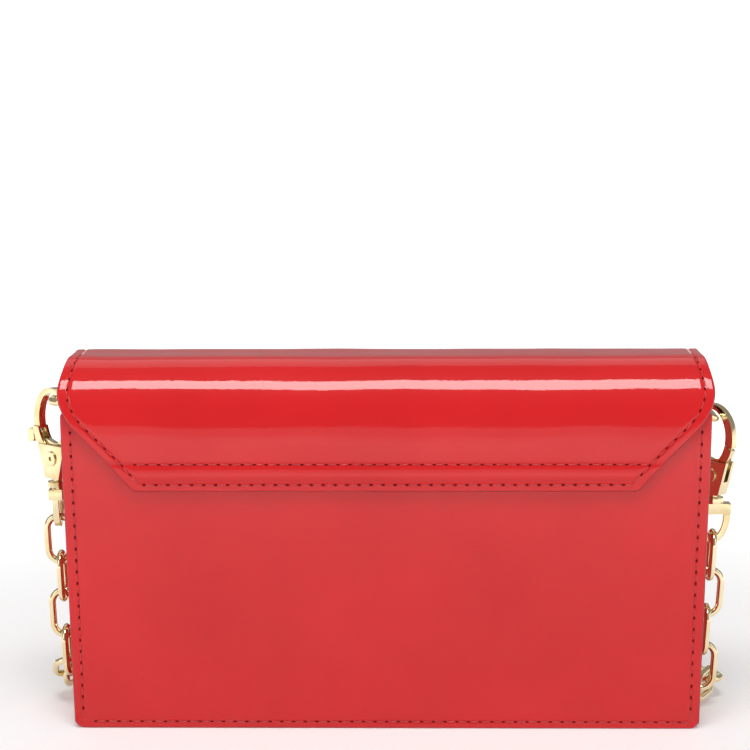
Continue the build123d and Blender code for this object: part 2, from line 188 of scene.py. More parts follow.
# ---------------------------------------------------------------- materials
class Shader:
    """A material under construction: one principled shader and a few helpers."""

    def __init__(self, name, colour, roughness, **settings):
        self.material = bpy.data.materials.new(name)
        self.material.use_nodes = True
        self.tree = self.material.node_tree
        self.bsdf = self.tree.nodes["Principled BSDF"]
        self.bsdf.inputs["Base Color"].default_value = (*colour, 1)
        self.bsdf.inputs["Roughness"].default_value = roughness
        for key, value in settings.items():
            self.bsdf.inputs[key.replace("_", " ")].default_value = value
        self.coord = self.node("ShaderNodeTexCoord").outputs["Object"]
        self.normal = None

    def node(self, kind, **inputs):
        made = self.tree.nodes.new(kind)
        for key, value in inputs.items():
            self.put(made.inputs[key.replace("_", " ")], value)
        return made

    def put(self, socket, value):
        if isinstance(value, bpy.types.NodeSocket):
            self.tree.links.new(value, socket)
        else:
            socket.default_value = value

    def noise(self, scale, detail=2.0, stretch=None):
        vector = self.coord
        if stretch:
            vector = self.node("ShaderNodeMapping", Vector=self.coord, Scale=stretch).outputs[0]
        return self.node("ShaderNodeTexNoise", Vector=vector, Scale=scale, Detail=detail).outputs["Fac"]

    def blend(self, low, high, factor, span=(0.0, 1.0)):
        """A colour that runs from low to high as the factor crosses the span."""
        ramp = self.node("ShaderNodeMapRange", Value=factor, From_Min=span[0], From_Max=span[1])
        mix = self.node("ShaderNodeMix")
        mix.data_type = "RGBA"
        self.put(mix.inputs[0], ramp.outputs[0])
        for socket, colour in ((mix.inputs[6], low), (mix.inputs[7], high)):
            self.put(socket, colour if isinstance(colour, bpy.types.NodeSocket) else (*colour, 1))
        return mix.outputs[2]

    def mottle(self, low, high, factor, span=(0.3, 0.7)):
        """A base colour that wanders between two shades with the factor."""
        self.put(self.bsdf.inputs["Base Color"], self.blend(low, high, factor, span))

    def vary(self, key, low, high, factor):
        """A value of the shader that wanders between two limits with the factor."""
        ramp = self.node("ShaderNodeMapRange", Value=factor, To_Min=low, To_Max=high)
        self.put(self.bsdf.inputs[key], ramp.outputs[0])

    def bump(self, height, strength, distance):
        """One more layer of bump, on top of those before it."""
        made = self.node("ShaderNodeBump", Height=height, Strength=strength, Distance=distance)
        if self.normal:
            self.put(made.inputs["Normal"], self.normal)
        self.normal = made.outputs[0]
        self.put(self.bsdf.inputs["Normal"], self.normal)


def patent_leather():
    """Deep glossy red under a clear film, with a faint orange peel and a few specks."""
    s = Shader("patent_red", (0.6, 0.012, 0.015), 0.38)
    s.bsdf.inputs["Coat Weight"].default_value = 1.0
    s.bsdf.inputs["Coat Roughness"].default_value = 0.035
    s.bsdf.inputs["Coat IOR"].default_value = 1.44
    s.bsdf.inputs["Specular IOR Level"].default_value = 0.06
    base = s.blend((0.59, 0.008, 0.010), (0.66, 0.011, 0.013), s.noise(22.0, 3.0), (0.3, 0.7))
    speck = s.node("ShaderNodeTexVoronoi", Vector=s.coord, Scale=95.0).outputs["Distance"]
    s.mottle((0.38, 0.01, 0.012), base, speck, (0.012, 0.03))
    s.vary("Roughness", 0.32, 0.46, s.noise(60.0, 4.0))
    slow = s.node("ShaderNodeBump", Height=s.noise(30.0, 1.0), Strength=0.10, Distance=0.002).outputs[0]
    peel = s.node("ShaderNodeBump", Height=s.noise(900.0, 2.0), Strength=0.05, Distance=0.0003, Normal=slow)
    s.put(s.bsdf.inputs["Coat Normal"], peel.outputs[0])
    s.put(s.bsdf.inputs["Normal"], peel.outputs[0])
    return s.material


def edge_paint():
    """The sealed cut edge: darker, satin, slightly uneven."""
    s = Shader("edge_paint", (0.42, 0.012, 0.016), 0.3)
    s.mottle((0.34, 0.01, 0.013), (0.50, 0.02, 0.024), s.noise(160.0, 3.0))
    s.bump(s.noise(700.0, 3.0), 0.3, 0.0003)
    return s.material


def thread():
    """Waxed red sewing thread."""
    s = Shader("red_thread", (0.55, 0.02, 0.024), 0.36)
    s.bsdf.inputs["Coat Weight"].default_value = 0.25
    s.bsdf.inputs["Coat Roughness"].default_value = 0.15
    s.bsdf.inputs["Specular IOR Level"].default_value = 0.3
    s.mottle((0.46, 0.014, 0.018), (0.72, 0.05, 0.05), s.noise(1500.0, 2.0))
    s.bump(s.noise(2600.0, 1.0), 0.5, 0.0002)
    return s.material


def needle_hole_shade():
    """The dark dip between two stitches, as painted shade: a dark lump at the surface stands in for the
    shade inside the needle hole.
    """
    s = Shader("needle_hole_shade", (0.10, 0.004, 0.006), 0.7)
    s.bsdf.inputs["Specular IOR Level"].default_value = 0.05
    s.mottle((0.07, 0.003, 0.004), (0.20, 0.008, 0.010), s.noise(1200.0))
    return s.material


def twill():
    """Dark lining cloth with a fine diagonal weave."""
    s = Shader("lining_twill", (0.05, 0.045, 0.045), 0.75)
    s.bsdf.inputs["Sheen Weight"].default_value = 0.3
    turn = s.node("ShaderNodeMapping", Vector=s.coord, Rotation=(0.4, 0.78, 0.78))
    lines = s.node("ShaderNodeTexWave", Vector=turn.outputs[0], Scale=420.0, Distortion=0.6, Detail=1.0)
    s.mottle((0.03, 0.027, 0.027), (0.09, 0.08, 0.078), lines.outputs["Fac"], (0.0, 1.0))
    s.bump(lines.outputs["Fac"], 0.5, 0.0003)
    s.bump(s.noise(40.0, 3.0), 0.2, 0.002)
    return s.material


def fibre_board():
    """Pressed fibre board for the stiffeners."""
    s = Shader("fibre_board", (0.4, 0.35, 0.28), 0.9)
    s.mottle((0.30, 0.25, 0.19), (0.5, 0.44, 0.36), s.noise(500.0, 6.0))
    s.bump(s.noise(900.0, 4.0), 0.4, 0.0004)
    return s.material


def gold(name, rough, colour):
    """Polished pale gold plate with a faint haze, hairline scratches and patches of warmer tone at random.
    """
    s = Shader(name, colour, rough, Metallic=1.0)
    warm = tuple(c * k for c, k in zip(colour, (0.93, 0.86, 0.72)))
    s.mottle(warm, colour, s.noise(120.0, 4.0), (0.35, 0.6))
    s.vary("Roughness", rough * 0.75, rough * 1.5, s.noise(300.0, 3.0))
    s.bump(s.noise(1400.0, 2.0, (1.0, 1.0, 0.12)), 0.08, 0.0002)
    return s.material


def steel(name, colour, rough):
    """Bright metal with fine drawn lines."""
    s = Shader(name, colour, rough, Metallic=1.0)
    s.vary("Roughness", rough * 0.8, rough * 1.4, s.noise(500.0, 3.0))
    s.bump(s.noise(1800.0, 2.0, (1.0, 0.1, 1.0)), 0.1, 0.0002)
    return s.material


PATENT = patent_leather()
EDGE = edge_paint()
THREAD = thread()
# painted shade for the needle holes
HOLE_SHADE = needle_hole_shade()
TWILL = twill()
BOARD = fibre_board()
GOLD = gold("pale_gold", 0.14, (0.86, 0.73, 0.46))
CHAIN_GOLD = gold("chain_gold", 0.12, (0.88, 0.76, 0.50))
MAGNET = steel("plated_magnet", (0.6, 0.6, 0.62), 0.3)
SPRING = steel("spring_wire", (0.7, 0.7, 0.72), 0.2)


# ---------------------------------------------------------------- shapes
ARC_POINTS = 15
STRAIGHT = 3.13  # a corner that opens wider than this, in radians, is left as it is


def rounded(points, radii):
    """A closed outline with each corner rounded, as an array of points."""
    out = []
    count = len(points)
    for k in range(count):
        here = np.array(points[k], float)
        before = np.array(points[k - 1], float) - here
        after = np.array(points[(k + 1) % count], float) - here
        radius = radii[k]
        before /= np.linalg.norm(before)
        after /= np.linalg.norm(after)
        opening = math.acos(np.clip(before @ after, -1, 1))
        if radius == 0 or opening > STRAIGHT:
            out.append(here)
            continue
        reach = radius / math.tan(opening / 2)
        axis = (before + after) / np.linalg.norm(before + after)
        centre = here + axis * radius / math.sin(opening / 2)
        start = here + before * reach - centre
        end = here + after * reach - centre
        first = math.atan2(start[1], start[0])
        turn = (math.atan2(end[1], end[0]) - first + math.pi) % (2 * math.pi) - math.pi
        for angle in np.linspace(first, first + turn, ARC_POINTS):
            out.append(centre + radius * np.array([math.cos(angle), math.sin(angle)]))
    return np.array(out)


def edge_distance(outline, a, b):
    """How far each point is from the closed outline."""
    best = np.full(a.shape, 1e9)
    for p, q in zip(outline, np.roll(outline, -1, axis=0)):
        run = q - p
        size = run @ run
        if size < 1e-9:
            continue
        t = np.clip(((a - p[0]) * run[0] + (b - p[1]) * run[1]) / size, 0, 1)
        best = np.minimum(best, np.hypot(a - p[0] - t * run[0], b - p[1] - t * run[1]))
    return best


def side_of(outline):
    """The right side of an outline as rising b and its a."""
    right = outline[outline[:, 0] > 0]
    right = right[np.argsort(right[:, 1])]
    return right[:, 1], right[:, 0]


# Distances of the rows of points from an edge, dense where it rounds and where the stitches pull
NEAR_EDGE = [0, 0.03, 0.1, 0.22, 0.4, 0.6, 0.85, 1.2, 1.6, 2.0]
NEAR_STITCHES = [2.3, 2.6, 2.85, 3.1, 3.35, 3.65, 4.0, 4.6, 5.4, 6.4]
NEAR = np.array(NEAR_EDGE + NEAR_STITCHES)
NARROW = 0.45  # rows near the edge reach at most this share of the half width, so that they never cross
# Rows either side of a seam across the sheet, and how far off other rows stay
FINE = np.array([-1.2, -0.8, -0.5, -0.25, 0, 0.25, 0.5, 0.8, 1.2])
FINE_CLEAR = 1.3
STEEPEST = 1.5
PAINTED = 0.42  # width of the painted edge
RELIEF_START = 0.6  # relief fades to nothing over this distance from the edge
DOUBLES = 2e-6
DEGENERATE = 1e-6


def spread(low, high, step, near_low=True, near_high=True):
    """Positions from low to high, close together near the ends that are edges."""
    start = low + NEAR if near_low else np.array([low])
    end = high - NEAR[::-1] if near_high else np.array([high])
    count = max(2, int((end[0] - start[-1]) / step))
    return np.concatenate([start, np.linspace(start[-1], end[0], count + 1)[1:-1], end])


class Skin:
    """A sheet with thickness over an outline in (a, b), whose place in space is given by a function.

    surface(a, b) gives points and outward normals of the sheet's outer face.
    relief(a, b, d) gives how far that face is raised, with d the distance from the edge.
    """

    def __init__(self, outline, surface, thickness, relief=None):
        self.outline = outline
        self.surface = surface
        self.thickness = thickness
        self.relief = relief or (lambda a, b, d: np.zeros_like(a))
        self.side = side_of(outline)

    def half_width(self, b):
        return np.interp(b, *self.side)

    def outer(self, a, b):
        """Points on the outer face and their normals."""
        a, b = np.asarray(a, float), np.asarray(b, float)
        d = edge_distance(self.outline, a, b)
        point, normal = self.surface(a, b)
        return point + normal * self.relief(a, b, d)[..., None], normal

    def grid(self, rows, step):
        """Points (a, b) on each row across the sheet, close together near its two sides."""
        widest = self.outline[:, 0].max()
        near = NEAR[NEAR < NARROW * widest]
        middle = max(4, int((widest - near[-1]) / step))
        slope = np.gradient(self.half_width(rows), rows)
        lean = np.sqrt(1 + np.clip(slope, -STEEPEST, STEEPEST) ** 2)
        lines = []
        for width, k in zip(self.half_width(rows), lean):
            edge = width - near * k
            inner = np.linspace(-edge[-1], edge[-1], 2 * middle + 1)[1:-1]
            lines.append(np.concatenate([-edge, inner, edge[::-1]]))
        a = np.array(lines)
        return a, np.repeat(rows[:, None], a.shape[1], axis=1)

    def both_faces(self, a, b):
        """Both faces of the sheet over a grid, drawn together into a round edge."""
        d = edge_distance(self.outline, a, b)
        point, normal = self.surface(a, b)
        raised = self.relief(a, b, d)[..., None]
        r = self.thickness / 2
        plump = (r * np.sqrt(np.clip(1 - (1 - np.clip(d / r, 0, 1)) ** 2, 0, 1)))[..., None]
        mid = point - normal * r
        outside = mid + normal * (plump + raised * np.clip(d[..., None] / RELIEF_START, 0, 1))
        inside = mid - normal * plump
        return outside, inside, d

    def mesh(self, name, span=None, steps=(3.0, 1.4), materials=None, fine=()):
        """The sheet as an object, whole or cut off at a span of b, with finer rows along given seams."""
        low, high = self.outline[:, 1].min(), self.outline[:, 1].max()
        first, last = span or (low, high)
        rows = spread(first, last, steps[1], first == low, last == high)
        for line in fine:
            rows = rows[np.abs(rows - line) > FINE_CLEAR]
            rows = np.sort(np.concatenate([rows, line + FINE]))
        a, b = self.grid(rows, steps[0])
        outside, inside, d = self.both_faces(a, b)
        nr, nc = a.shape
        verts = np.concatenate([outside.reshape(-1, 3), inside.reshape(-1, 3)]) * MM
        index = np.arange(nr * nc).reshape(nr, nc)
        p, q, s, t = index[:-1, :-1], index[:-1, 1:], index[1:, 1:], index[1:, :-1]
        top = np.stack([p, q, s, t], -1).reshape(-1, 4)
        bottom = np.stack([t, s, q, p], -1).reshape(-1, 4) + nr * nc
        faces = [tuple(f) for f in np.concatenate([top, bottom])]
        depth = (d[:-1, :-1] + d[1:, 1:]).reshape(-1) / 2
        slots = [1 if x < PAINTED else 0 for x in depth] * 2
        for row, cut in ((0, first != low), (nr - 1, last != high)):
            if cut:
                line = index[row]
                for k in range(nc - 1):
                    face = (line[k], line[k + 1], line[k + 1] + nr * nc, line[k] + nr * nc)
                    faces.append(face if row else face[::-1])
                    slots.append(0)
        return build(name, verts, faces, materials or [PATENT, EDGE], slots)


def build(name, verts, faces, materials, slots=None, crease=50.0):
    """An object from points and faces: doubles merged, normals outward, smooth but for sharp bends."""
    mesh = bpy.data.meshes.new(name)
    mesh.from_pydata([tuple(v) for v in verts], [], faces)
    for material in materials:
        mesh.materials.append(material)
    if slots is not None:
        mesh.polygons.foreach_set("material_index", slots)
    work = bmesh.new()
    work.from_mesh(mesh)
    bmesh.ops.remove_doubles(work, verts=work.verts, dist=DOUBLES)
    bmesh.ops.dissolve_degenerate(work, edges=work.edges, dist=DEGENERATE)
    bmesh.ops.recalc_face_normals(work, faces=work.faces)
    for face in work.faces:
        face.smooth = True
    for edge in work.edges:
        edge.smooth = len(edge.link_faces) == 2 and edge.calc_face_angle(0) < math.radians(crease)
    work.to_mesh(mesh)
    work.free()
    made = bpy.data.objects.new(name, mesh)
    bpy.context.collection.objects.link(made)
    return made


def wave(a, b, size, seed):
    """A smooth uneven field between about -1 and 1, the same on every run."""
    total = np.zeros_like(a, float)
    for k in range(4):
        angle = seed * 1.7 + k * 2.1
        f = (1 + 0.6 * k) * 2 * math.pi / size
        total += np.sin(f * (a * math.cos(angle) + b * math.sin(angle)) + seed * 5.1 + k * 1.3) / (1 + k)
    return total / 2


def groove(distance, width=0.55, depth=0.28):
    """The dip that a row of stitches pulls into the leather."""
    return -depth * np.exp(-((distance / width) ** 2))


# ---------------------------------------------------------------- stitches
RINGS = 7
RING_SIDES = 8
THREAD_RADIUS = 0.29
THREAD_RISE = 0.12
THREAD_SWAY = 0.12
HOLE_RADIUS = 0.4
HOLE_FLATNESS = 0.4
SUNK = 0.02
PROBES = 1500


def bead(point, normal, radius, flatness, sway=0.0):
    """The points of a short closed lump along a line of places, as rings round it."""
    t = np.linspace(-1, 1, RINGS)
    ahead = np.gradient(point, axis=0)
    ahead /= np.linalg.norm(ahead, axis=1)[:, None]
    across = np.cross(normal, ahead)
    point = point + across * (sway * t)[:, None]
    size = radius * np.sqrt(np.clip(1 - np.abs(t) ** 3, 0.02, 1))
    verts = []
    for i in range(RINGS):
        for j in range(RING_SIDES):
            turn = 2 * math.pi * j / RING_SIDES
            side = across[i] * math.cos(turn) + normal[i] * math.sin(turn) * flatness
            verts.append((point[i] + side * size[i]) * MM)
    return verts


def bead_faces(base):
    """The faces of a lump whose points start at a base index."""
    n = RING_SIDES
    faces = []
    for i in range(RINGS - 1):
        for j in range(n):
            k = (j + 1) % n
            low, high = base + i * n, base + (i + 1) * n
            faces.append((low + j, low + k, high + k, high + j))
    faces.append(tuple(base + j for j in range(n))[::-1])
    faces.append(tuple(base + (RINGS - 1) * n + j for j in range(n)))
    return faces


def stitch_row(name, skin, path):
    """Threads, and dark lumps of painted shade for the needle holes, along a path in the skin's own (a, b),
    as one mesh.
    """
    path = np.array(path, float)
    runs = np.linalg.norm(np.diff(path, axis=0), axis=1)
    along = np.concatenate([[0], np.cumsum(runs)])
    arch = 1 - np.linspace(-1, 1, RINGS) ** 2
    verts, faces, slots = [], [], []
    for k in range(int(along[-1] / STITCH_PITCH)):
        start = k * STITCH_PITCH
        over = start + np.linspace(0, STITCH_LENGTH, RINGS)
        gap = start + STITCH_LENGTH + np.linspace(0.0, STITCH_PITCH - STITCH_LENGTH, RINGS)
        sway = THREAD_SWAY * math.sin(k * 2.3)
        parts = (
            (over, THREAD_RISE * arch + SUNK, THREAD_RADIUS, 1.0, sway, 0),
            # the needle hole is a dark lump at the surface: its colour is painted shade in place of a real
            # hole
            (gap, np.full(RINGS, -SUNK), HOLE_RADIUS, HOLE_FLATNESS, 0.0, 1),
        )
        for s, lift, radius, flatness, sideways, slot in parts:
            point, normal = skin.outer(np.interp(s, along, path[:, 0]), np.interp(s, along, path[:, 1]))
            made = bead_faces(len(verts))
            verts += bead(point + normal * lift[:, None], normal, radius, flatness, sideways)
            faces += made
            slots += [slot] * len(made)
    row = build(name, verts, faces, [THREAD, HOLE_SHADE], slots, crease=70.0)
    return row


def inset_path(outline, inset, low, high, step=0.5):
    """The right side of the outline moved inwards by an inset, from a low b to a high one."""
    right = side_of(outline)
    a = np.linspace(0, outline[:, 0].max(), PROBES)
    path = []
    for b in np.arange(low, high, step):
        inside = (edge_distance(outline, a, np.full_like(a, b)) >= inset) & (a < np.interp(b, *right))
        path.append((a[inside].max() if inside.any() else 0.0, b))
    path = np.array(path)
    return path[path[:, 0] > 0]


# ---------------------------------------------------------------- the flap
# The flap's own lengths run from the tail's edge, 0, to the front edge, V_END.
# The rear bend tightens towards the top by the power EASE; the front bend is an arc.
BEND_START = 13.0
EASE = 1.5
STEP = 0.05
FRONT_RADIUS = 14.5
EASE_SAMPLES = 2001
# How much wider the flap is than the panels: everywhere, over the rear bend and over the front bend
SPREAD = 0.3
SPREAD_REAR = 1.7
SPREAD_FRONT = 1.0
SPREAD_AT = 28.0
SPREAD_BACK = 8.0
SPREAD_REACH = 11.0


def rear_bend():
    """The length of leather in the rear bend, and how far forward the bend takes it."""
    angle = (math.pi / 2) * np.linspace(0, 1, EASE_SAMPLES) ** EASE
    length = (TOP - (TAIL_LOW + BEND_START)) / np.mean(np.cos(angle))
    return length, length * np.mean(np.sin(angle))


REAR_BEND, REAR_IN = rear_bend()
FLAT_TOP = REAR - REAR_IN - (FRONT + FRONT_RADIUS)
FRONT_BEND = FRONT_RADIUS * math.pi / 2
V_TOP = BEND_START + REAR_BEND
V_FRONT = V_TOP + FLAT_TOP
V_DOWN = V_FRONT + FRONT_BEND
V_END = V_DOWN + FOLD - FRONT_LOW
SEAM = V_TOP + FLAT_TOP / 2


def flap_track():
    """The flap's line from the tail's edge over the mouth to the front edge: position and direction."""
    v = np.arange(0, V_END + STEP, STEP)
    angle = np.zeros_like(v)
    rise = (v > BEND_START) & (v <= V_TOP)
    angle[rise] = (math.pi / 2) * ((v[rise] - BEND_START) / REAR_BEND) ** EASE
    angle[(v > V_TOP) & (v <= V_FRONT)] = math.pi / 2
    bend = (v > V_FRONT) & (v <= V_DOWN)
    angle[bend] = math.pi / 2 + (v[bend] - V_FRONT) / FRONT_RADIUS
    angle[v > V_DOWN] = math.pi
    mid = (angle[1:] + angle[:-1]) / 2
    y = REAR - np.concatenate([[0], np.cumsum(np.sin(mid) * STEP)])
    z = TAIL_LOW + np.concatenate([[0], np.cumsum(np.cos(mid) * STEP)])
    return v, y, z, angle


TRACK = flap_track()


def flap_surface(depth=0.0):
    """The flap's outer face, or a face a depth below it."""
    v, y, z, angle = TRACK

    def surface(a, b):
        t = np.interp(b, v, angle)
        normal = np.stack([np.zeros_like(t), np.cos(t), np.sin(t)], -1)
        wide = SPREAD + SPREAD_REAR * np.exp(-(((b - SPREAD_AT) / SPREAD_REACH) ** 2))
        wide = wide + SPREAD_FRONT * np.exp(-(((b - V_DOWN + SPREAD_BACK) / SPREAD_REACH) ** 2))
        point = np.stack([a * (1 + wide / HALF), np.interp(b, v, y), np.interp(b, v, z)], -1)
        return point - normal * depth, normal

    return surface


TIP_RADIUS = 2.0
SHOULDER_RADIUS = 24.0
ROW_LOW = 2.2
ROW_HIGH = 8.4
ROLL = 0.35
ROLL_REACH = 2.2
LINING_INSET = 0.5


def flap_outline(inset=0.0):
    """Full width over the mouth, with slanted corners at both ends."""
    w, low, high = HALF - inset, inset, V_END - inset
    right = [
        (w - CHAMFER, low),
        (w, low + CHAMFER_HEIGHT),
        (w, high - CHAMFER_HEIGHT),
        (w - CHAMFER, high),
    ]
    left = [(-a, b) for a, b in reversed(right)]
    radii = [TIP_RADIUS, SHOULDER_RADIUS, SHOULDER_RADIUS, TIP_RADIUS]
    return rounded(right + left, radii * 2)


OUTLINE = flap_outline()


def flap_relief(a, b, d):
    """Dips at the stitch rows, a roll between the two rows of the tail, and a slow unevenness."""
    row = np.abs(b - ROW_HIGH)
    raised = groove(d - STITCH_INSET, 0.5, 0.22) + groove(row, 0.5, 0.3)
    raised += ROLL * np.exp(-(((b - (ROW_LOW + ROW_HIGH) / 2) / ROLL_REACH) ** 2)) * np.clip(d / 3, 0, 1)
    calm = np.clip(d / 6, 0, 1) * np.clip((b - 4) / 12, 0, 1)
    raised += calm * (0.16 * wave(a, b * 2.2, 95.0, 1.0) + 0.05 * wave(a, b * 1.5, 31.0, 4.0))
    return raised


flap = Skin(OUTLINE, flap_surface(), LEATHER, flap_relief)
flap_rear = flap.mesh("flap_rear_leather", (0.0, SEAM), fine=(ROW_HIGH,))
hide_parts("flap_tail", "flap_top")
flap_fore = flap.mesh("flap_front_leather", (SEAM, V_END))
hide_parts("flap_front")
under = Skin(flap_outline(LINING_INSET), flap_surface(LEATHER), FLAP_LINING)
lining_rear = under.mesh("flap_rear_lining", (LINING_INSET, SEAM), materials=[TWILL, EDGE])
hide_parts("flap_top_lining")
lining_fore = under.mesh("flap_front_lining_cloth", (SEAM, V_END - LINING_INSET), materials=[TWILL, EDGE])
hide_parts("flap_front_lining")


def flap_stitches():
    """Stitch rows round the flap, cut where its two halves meet."""
    side = inset_path(OUTLINE, STITCH_INSET, STITCH_INSET + 0.1, V_END / 2)
    rear_side = side[side[:, 1] < SEAM - 1]
    rows = {"rear": [], "fore": []}
    for hand, sign in SIDES:
        path = rear_side * np.array([sign, 1])
        rows["rear"].append(stitch_row(f"rear_side_stitches_{hand[0]}", flap, path))
        path = side * np.array([sign, -1]) + np.array([0, V_END])
        path = path[path[:, 1] > SEAM + 1]
        rows["fore"].append(stitch_row(f"fore_side_stitches_{hand[0]}", flap, path))
    wide = side[0, 0] - 0.3
    upper = np.interp(ROW_HIGH, side[:, 1], side[:, 0]) - 0.5
    front = V_END - ROW_LOW
    rows["rear"].append(stitch_row("tail_edge_stitches", flap, [(-wide, ROW_LOW), (wide, ROW_LOW)]))
    rows["rear"].append(stitch_row("tail_upper_stitches", flap, [(-upper, ROW_HIGH), (upper, ROW_HIGH)]))
    rows["fore"].append(stitch_row("front_edge_stitches", flap, [(-wide, front), (wide, front)]))
    return rows


STITCHES = flap_stitches()
for piece in [flap_rear, lining_rear] + STITCHES["rear"]:
    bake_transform(piece)
for piece in [flap_fore, lining_fore] + STITCHES["fore"]:
    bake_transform(piece)


# ---------------------------------------------------------------- the body
PANEL_NARROWER = 1.2
PANEL_WIDER = 0.9
LEAN_FROM = 86.0
LEAN_HEIGHT = 13.0
BASE_CLEAR = 0.05


def panel_outline(top):
    """A panel a little narrower at its base, with small round lower corners."""
    low, high = HALF - PANEL_NARROWER, HALF + PANEL_WIDER
    points = [(low, 0), (high, top), (-high, top), (-low, 0)]
    return rounded(points, [3.0, 1.5, 1.5, 3.0])


def panel_surface(face, tuck):
    """A flat upright face at y, whose top leans in a little."""
    sign = 1 if face > 0 else -1

    def surface(a, b):
        lean = tuck * np.clip((b - LEAN_FROM) / LEAN_HEIGHT, 0, 1) ** 2
        point = np.stack([a, face - sign * lean, b], -1)
        normal = np.zeros(point.shape)
        normal[..., 1] = sign
        return point, normal

    return surface


def panel_relief(a, b, d):
    """Dips at the stitch rows and a slow unevenness."""
    calm = np.clip(d / 6, 0, 1)
    low_row = np.abs(b - ROW_LOW)
    raised = groove(HALF - 0.6 - np.abs(a) - STITCH_INSET, 0.5, 0.22) + groove(low_row, 0.5, 0.2)
    return raised + calm * (0.14 * wave(a, b, 120.0, 2.0) + 0.03 * wave(a, b, 40.0, 6.0))


def make_panel(name, node, face, top, tuck):
    """An upright leather panel with its three stitch rows."""
    skin = Skin(panel_outline(top), panel_surface(face, tuck), LEATHER, panel_relief)
    body = skin.mesh(name, steps=(3.0, 2.0))
    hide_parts(node)
    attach(body, "bag")
    foot = skin.half_width(5.0) - STITCH_INSET
    head = skin.half_width(top - 4) - STITCH_INSET
    for hand, sign in SIDES:
        path = [(sign * foot, ROW_LOW + 1.2), (sign * head, top - 4)]
        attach(stitch_row(f"{name}_side_stitches_{hand[0]}", skin, path), "bag")
    wide = skin.half_width(ROW_LOW) - STITCH_INSET
    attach(stitch_row(f"{name}_base_stitches", skin, [(-wide, ROW_LOW), (wide, ROW_LOW)]), "bag")


make_panel("back_leather", "back_panel", PANEL_FACE, PANEL_TOP, 0.9)
make_panel("front_leather", "front_panel", -PANEL_FACE, FRONT_TOP, 0.0)


def smooth_path(points):
    """A round-cornered line through control points, by corner cutting, with its length along it."""
    line = np.array(points, float)
    for _ in range(3):
        cut = [line[0]]
        for p, q in zip(line[:-1], line[1:]):
            cut += [p * 0.75 + q * 0.25, p * 0.25 + q * 0.75]
        cut.append(line[-1])
        line = np.array(cut)
    length = np.concatenate([[0], np.cumsum(np.linalg.norm(np.diff(line, axis=0), axis=1))])
    return line, length


def channel_skin(points, span, place, thickness, bulge=0.0):
    """A sheet bent along a section; the section runs along b and the sheet's breadth along a."""
    line, length = smooth_path(points)
    tangent = np.gradient(line, length, axis=0)
    tangent /= np.linalg.norm(tangent, axis=1)[:, None]
    half = (span[1] - span[0]) / 2
    centre = (span[1] + span[0]) / 2

    def surface(a, b):
        p = np.interp(b, length, line[:, 0])
        q = np.interp(b, length, line[:, 1])
        tp = np.interp(b, length, tangent[:, 0])
        tq = np.interp(b, length, tangent[:, 1])
        size = np.hypot(tp, tq)
        return place(p, q, centre + a), place(tq / size, -tp / size, a * 0.0)

    def relief(a, b, d):
        return bulge * np.clip(d / 8, 0, 1) * wave(a, b, 60.0, 3.0)

    end = length[-1]
    outline = rounded([(half, 0), (half, end), (-half, end), (-half, 0)], [0.8] * 4)
    return Skin(outline, surface, thickness, relief)


def make_gusset(side, sign):
    """The sunken side strip: out at both seams, in along the middle, softly sagging."""
    edge = HALF - 0.9
    inner = PANEL_INNER - LEATHER
    web = WEB + LEATHER
    rear = [(web + 0.4, 8), (web + 0.1, inner - 1.6), (web + 2.4, inner), (edge, inner)]
    front = [(p, -q) for p, q in reversed(rear)]
    section = front + [(web + 0.1, 0)] + rear

    def place(p, q, c):
        return np.stack([sign * p, q, c], -1)

    skin = channel_skin(section, (0.9, GUSSET_TOP), place, LEATHER, 0.25)
    strip = skin.mesh(f"{side}_gusset_leather", steps=(3.0, 0.8))
    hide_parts(f"{side}_gusset")
    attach(strip, "bag")


def make_base():
    """The flat base strip between the two panels."""

    def surface(a, b):
        point = np.stack([a, b, np.full(np.shape(a), BASE_CLEAR)], -1)
        normal = np.zeros(point.shape)
        normal[..., 2] = -1
        return point, normal

    wide, deep = HALF - 1.5, PANEL_INNER
    outline = rounded([(wide, -deep), (wide, deep), (-wide, deep), (-wide, -deep)], [2.0] * 4)
    base = Skin(outline, surface, LEATHER).mesh("base_leather", steps=(4.0, 2.0))
    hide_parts("base_gusset")
    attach(base, "bag")


for side_name, side_sign in SIDES:
    make_gusset(side_name, side_sign)
make_base()


# ---------------------------------------------------------------- lining
REAR_RIM = 97.4
FRONT_RIM = 93.2
CLOTH = 0.6


def loop(half_x, half_y, corner, count=96):
    """A rounded rectangle as evenly spaced points, counter-clockwise."""
    corners = [(half_x, -half_y), (half_x, half_y), (-half_x, half_y), (-half_x, -half_y)]
    points = rounded(corners, [corner] * 4)
    closed = np.vstack([points, points[:1]])
    length = np.concatenate([[0], np.cumsum(np.linalg.norm(np.diff(closed, axis=0), axis=1))])
    s = np.linspace(0, length[-1], count, endpoint=False)
    return np.stack([np.interp(s, length, closed[:, 0]), np.interp(s, length, closed[:, 1])], 1)


